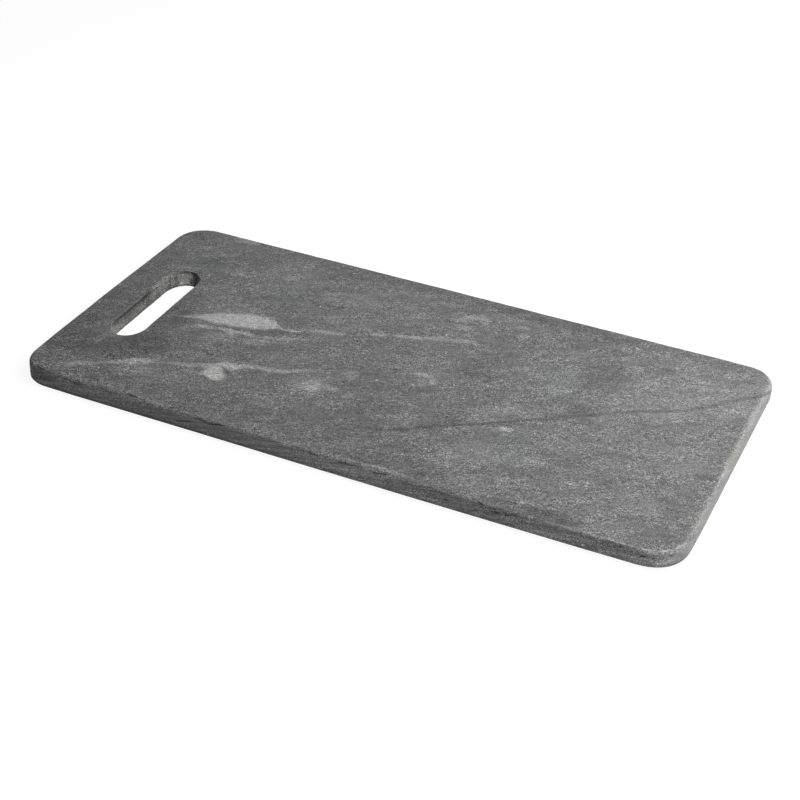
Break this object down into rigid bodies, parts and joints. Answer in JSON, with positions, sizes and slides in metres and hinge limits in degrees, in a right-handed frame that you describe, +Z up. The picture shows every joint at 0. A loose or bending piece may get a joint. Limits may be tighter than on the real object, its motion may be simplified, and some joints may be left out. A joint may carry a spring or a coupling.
{
  "type": "stone cutting board",
  "caption": "Flat rectangular grey stone cutting and serving board with rounded corners, eased edges and a long hand slot across one end, on low non-slip feet.",
  "frame": {"origin": "on the worktop, under the centre of the board", "axes": "+X along the board from the hand slot to the plain end, +Y from the front edge to the back edge, +Z up out of the working face"},
  "size_m": [0.4, 0.2, 0.0133],
  "materials": {
    "stone": "honed matte natural stone, grey with pale and dark veins",
    "foot_rubber": "matte black"
  },
  "bodies": {
    "root": {"stone_slab": "stone", "foot_front_left": "foot_rubber", "foot_front_right": "foot_rubber", "foot_back_left": "foot_rubber", "foot_back_right": "foot_rubber"}
  },
  "joints": []
}
